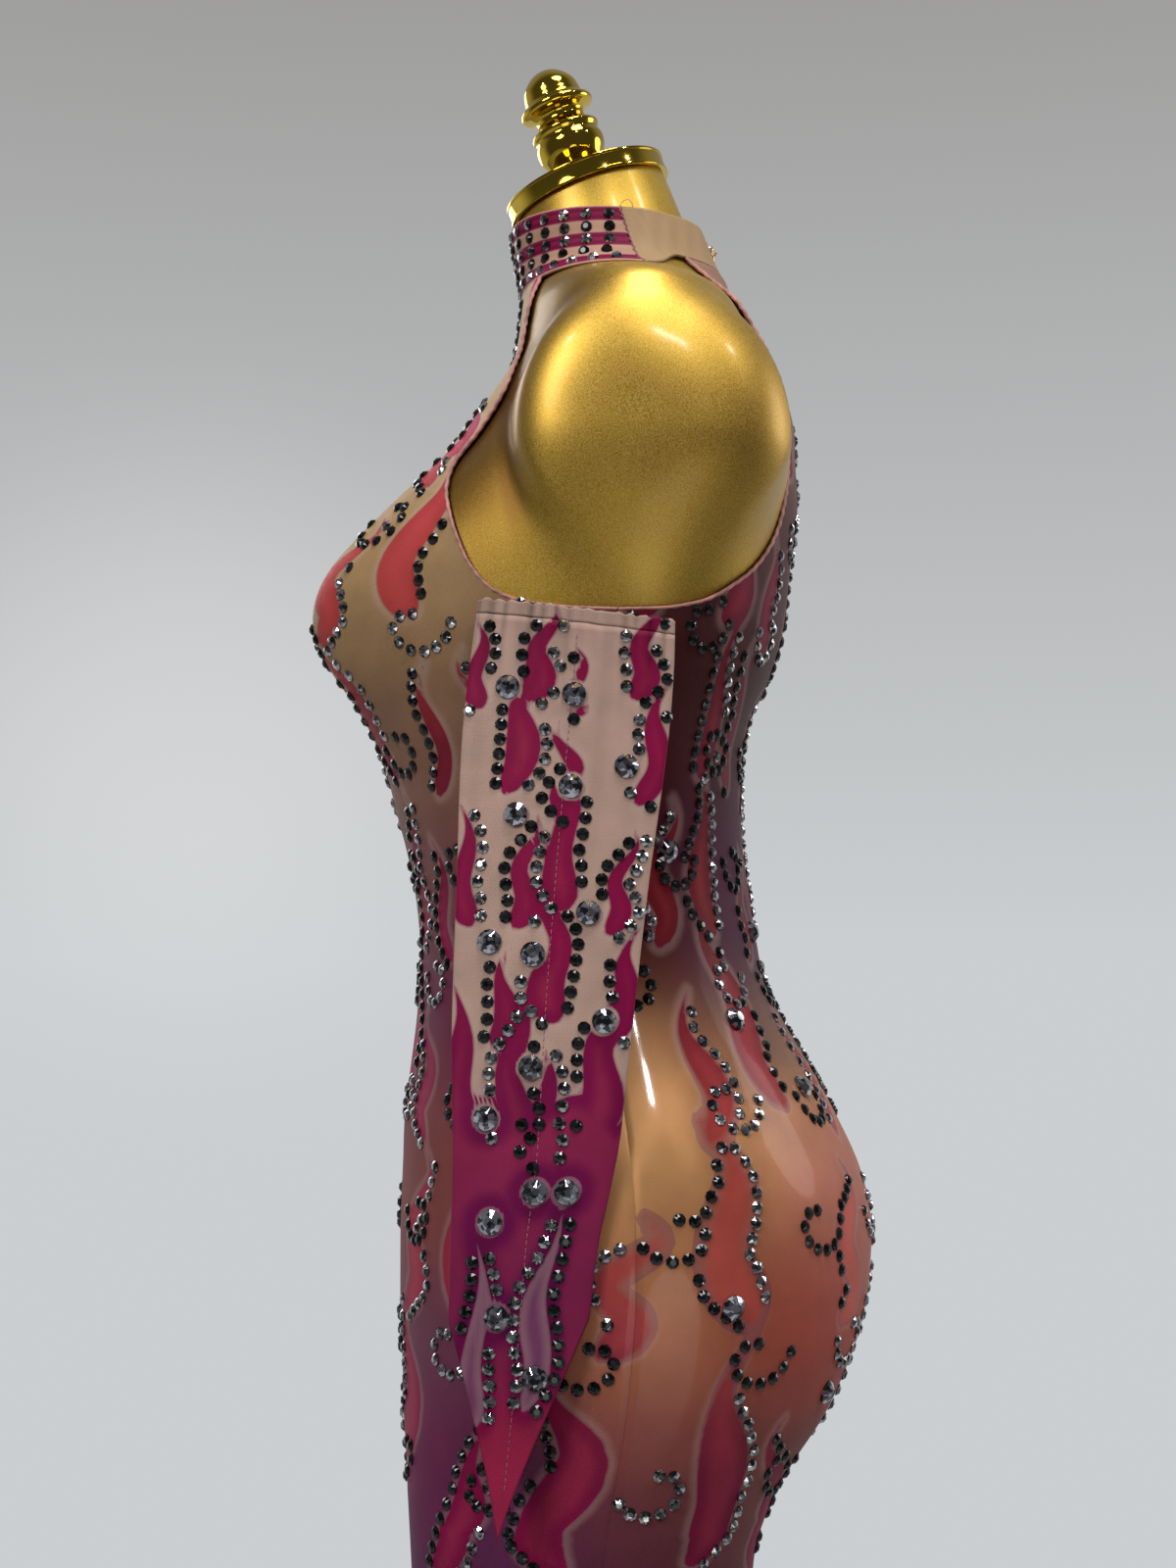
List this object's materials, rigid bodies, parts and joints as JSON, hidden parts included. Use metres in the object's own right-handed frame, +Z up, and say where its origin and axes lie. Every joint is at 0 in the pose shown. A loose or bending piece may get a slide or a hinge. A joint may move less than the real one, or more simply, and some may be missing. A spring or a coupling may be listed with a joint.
{
  "type": "rhinestone jumpsuit on dress form",
  "caption": "Long-legged stretch jumpsuit with stand collar, flame print and rhinestones, worn by a limbless gold dress form on a round-based stand.",
  "frame": {"origin": "centre of the stand's underside, on the floor", "axes": "+Z up; the figure faces -Y; its left is +X"},
  "size_m": [0.3942, 0.344, 1.6058],
  "materials": {
    "form_paint": "satin gold paint",
    "polished_gold": "polished",
    "stand_metal": "satin",
    "printed_mesh": "printed stretch mesh",
    "nude_mesh": "plain stretch mesh",
    "stones": "faceted, foil backed",
    "hook_wire": "polished wire"
  },
  "bodies": {
    "root": {"form_body": "form_paint", "neck_cap": "polished_gold", "neck_finial": "polished_gold", "stand_base": "stand_metal", "collar_band": "printed_mesh", "collar_hook": "hook_wire", "collar_bar": "hook_wire", "stand_foot_left": "stand_metal", "stand_pole_left": "stand_metal", "stand_plate_left": "stand_metal", "front_left": "printed_mesh", "back_left": "printed_mesh", "leg_front_left": "printed_mesh", "leg_back_left": "printed_mesh", "sleeve_left": "printed_mesh", "collar_strap_left": "nude_mesh", "sleeve_band_left": "printed_mesh", "sleeve_stone_1_left": "stones", "sleeve_stone_2_left": "stones", "sleeve_stone_3_left": "stones", "sleeve_stone_4_left": "stones", "sleeve_stone_5_left": "stones", "sleeve_stone_6_left": "stones", "hip_stone_1_left": "stones", "hip_stone_2_left": "stones", "stand_foot_right": "stand_metal", "stand_pole_right": "stand_metal", "stand_plate_right": "stand_metal", "front_right": "printed_mesh", "back_right": "printed_mesh", "leg_front_right": "printed_mesh", "leg_back_right": "printed_mesh", "sleeve_right": "printed_mesh", "collar_strap_right": "nude_mesh", "sleeve_band_right": "printed_mesh", "sleeve_stone_1_right": "stones", "sleeve_stone_2_right": "stones", "sleeve_stone_3_right": "stones", "sleeve_stone_4_right": "stones", "sleeve_stone_5_right": "stones", "sleeve_stone_6_right": "stones", "hip_stone_1_right": "stones", "hip_stone_2_right": "stones"}
  },
  "joints": []
}
